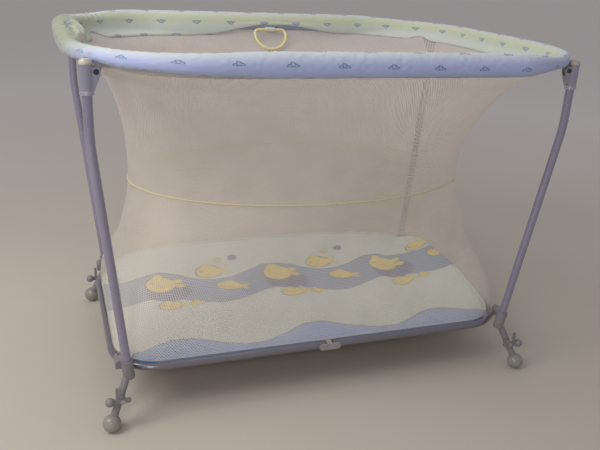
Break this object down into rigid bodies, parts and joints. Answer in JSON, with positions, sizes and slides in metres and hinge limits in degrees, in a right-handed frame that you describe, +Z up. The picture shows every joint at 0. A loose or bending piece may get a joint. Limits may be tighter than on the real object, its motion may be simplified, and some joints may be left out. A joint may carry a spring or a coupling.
{
  "type": "folding playpen",
  "caption": "Folding oval playpen: padded top rail on four bent legs with ball feet, waisted net wall, two-part padded floor on a tubular base frame.",
  "frame": {"origin": "on the floor at the centre of the footprint", "axes": "+X to the right along the long side, +Y to the back (the side with the pull ring), +Z up"},
  "size_m": [1.07, 0.834, 0.769],
  "materials": {
    "leg_paint": "satin grey-violet stove enamel",
    "base_paint": "satin grey stove enamel",
    "cast": "moulded grey, slightly glossy",
    "foot_plastic": "smooth glossy grey",
    "steel": "plain steel",
    "cover_fabric": "printed cotton over foam, cream with small clouds",
    "ring_plastic": "smooth pale yellow",
    "button_plastic": "moulded",
    "hub_plastic": "moulded light beige",
    "board": "raw hardboard",
    "mat_fabric": "printed coated cotton over thin foam",
    "net_fabric": "open knitted polyester net",
    "piping": "woven bias tape"
  },
  "bodies": {
    "rail_hubs": {"rail_hub_front": "cast", "rail_hub_rear": "cast", "rail_hub_pins": "steel", "ring_strap": "cover_fabric"},
    "ring": {"pull_ring": "ring_plastic"},
    "lock_front": {"rail_lock_front": "button_plastic"},
    "lock_rear": {"rail_lock_rear": "button_plastic"},
    "rail_left": {"rail_tube_left": "leg_paint", "rail_lugs_left": "cast", "cover_end_left": "cover_fabric", "cover_front_left": "cover_fabric", "cover_rear_left": "cover_fabric"},
    "legs_left": {"leg_front_left": "leg_paint", "leg_rear_left": "leg_paint", "top_bracket_front_left": "leg_paint", "top_bracket_rear_left": "leg_paint", "leg_collars_left": "leg_paint", "top_rivets_left": "steel", "foot_bracket_front_left": "cast", "foot_bracket_rear_left": "cast", "ball_foot_front_left": "foot_plastic", "ball_foot_rear_left": "foot_plastic", "foot_rivets_left": "steel", "lever_screws_left": "steel", "net_left": "net_fabric", "waist_piping_left": "piping"},
    "base_left": {"base_tube_left": "base_paint", "base_lugs_left": "cast", "floor_board_left": "board", "mat_left": "mat_fabric"},
    "rail_right": {"rail_tube_right": "leg_paint", "rail_lugs_right": "cast", "cover_end_right": "cover_fabric", "cover_front_right": "cover_fabric", "cover_rear_right": "cover_fabric"},
    "legs_right": {"leg_front_right": "leg_paint", "leg_rear_right": "leg_paint", "top_bracket_front_right": "leg_paint", "top_bracket_rear_right": "leg_paint", "leg_collars_right": "leg_paint", "top_rivets_right": "steel", "foot_bracket_front_right": "cast", "foot_bracket_rear_right": "cast", "ball_foot_front_right": "foot_plastic", "ball_foot_rear_right": "foot_plastic", "foot_rivets_right": "steel", "lever_screws_right": "steel", "net_right": "net_fabric", "waist_piping_right": "piping"},
    "base_right": {"base_tube_right": "base_paint", "base_lugs_right": "cast", "floor_board_right": "board", "mat_right": "mat_fabric"},
    "base_hubs": {"base_hub_front": "hub_plastic", "base_hub_rear": "hub_plastic", "base_hub_pins": "steel"},
    "lever_front_left": {"foot_lever_front_left": "cast"},
    "lever_front_right": {"foot_lever_front_right": "cast"},
    "lever_rear_left": {"foot_lever_rear_left": "cast"},
    "lever_rear_right": {"foot_lever_rear_right": "cast"}
  },
  "joints": [
    {"name": "fold", "type": "hinge", "parent": "rail_hubs", "child": "rail_left", "pos_m": [-0.046, 0.396, 0.748], "axis": [0, 1, 0], "range_deg": [0, 80], "deforming": ["net_left", "net_right", "waist_piping_left", "waist_piping_right"]},
    {"name": "rail_right_fold", "type": "hinge", "parent": "rail_hubs", "child": "rail_right", "pos_m": [0.046, 0.396, 0.748], "axis": [0, -1, 0], "range_deg": [0, 80]},
    {"name": "legs_left_fold", "type": "hinge", "parent": "rail_left", "child": "legs_left", "pos_m": [-0.478, 0.306, 0.724], "axis": [0, -1, 0], "range_deg": [0, 80]},
    {"name": "legs_right_fold", "type": "hinge", "parent": "rail_right", "child": "legs_right", "pos_m": [0.478, 0.306, 0.724], "axis": [0, 1, 0], "range_deg": [0, 80]},
    {"name": "base_left_fold", "type": "hinge", "parent": "legs_left", "child": "base_left", "pos_m": [-0.45, 0.238, 0.1326], "axis": [0, -1, 0], "range_deg": [0, 80]},
    {"name": "base_right_fold", "type": "hinge", "parent": "legs_right", "child": "base_right", "pos_m": [0.45, 0.238, 0.1326], "axis": [0, 1, 0], "range_deg": [0, 80]},
    {"name": "base_hub_fold", "type": "hinge", "parent": "base_left", "child": "base_hubs", "pos_m": [-0.018, 0.26, 0.1086], "axis": [0, 1, 0], "range_deg": [0, 80]},
    {"name": "ring_swing", "type": "hinge", "parent": "rail_hubs", "child": "ring", "pos_m": [0.028, 0.368, 0.729], "axis": [-1, 0, 0], "range_deg": [0, 75]},
    {"name": "lock_front_press", "type": "slide", "parent": "rail_hubs", "child": "lock_front", "axis": [0, 0, 1], "range_m": [0, 0.005], "stiffness_N_per_m": 600, "springref_m": -0.002},
    {"name": "lock_rear_press", "type": "slide", "parent": "rail_hubs", "child": "lock_rear", "axis": [0, 0, 1], "range_m": [0, 0.005], "stiffness_N_per_m": 600, "springref_m": -0.002},
    {"name": "lever_front_left_turn", "type": "hinge", "parent": "legs_left", "child": "lever_front_left", "pos_m": [-0.458, -0.2995, 0.066], "axis": [0, 1, 0], "range_deg": [0, 50]},
    {"name": "lever_front_right_turn", "type": "hinge", "parent": "legs_right", "child": "lever_front_right", "pos_m": [0.458, -0.2995, 0.066], "axis": [0, -1, 0], "range_deg": [0, 50]},
    {"name": "lever_rear_left_turn", "type": "hinge", "parent": "legs_left", "child": "lever_rear_left", "pos_m": [-0.458, 0.2995, 0.066], "axis": [0, 1, 0], "range_deg": [0, 50]},
    {"name": "lever_rear_right_turn", "type": "hinge", "parent": "legs_right", "child": "lever_rear_right", "pos_m": [0.458, 0.2995, 0.066], "axis": [0, -1, 0], "range_deg": [0, 50]}
  ],
  "couplings": [
    {"joint": "rail_right_fold", "follows": "fold", "ratio": 1},
    {"joint": "legs_left_fold", "follows": "fold", "ratio": 1},
    {"joint": "legs_right_fold", "follows": "fold", "ratio": 1},
    {"joint": "base_left_fold", "follows": "fold", "ratio": 1},
    {"joint": "base_right_fold", "follows": "fold", "ratio": 1},
    {"joint": "base_hub_fold", "follows": "fold", "ratio": 1}
  ]
}
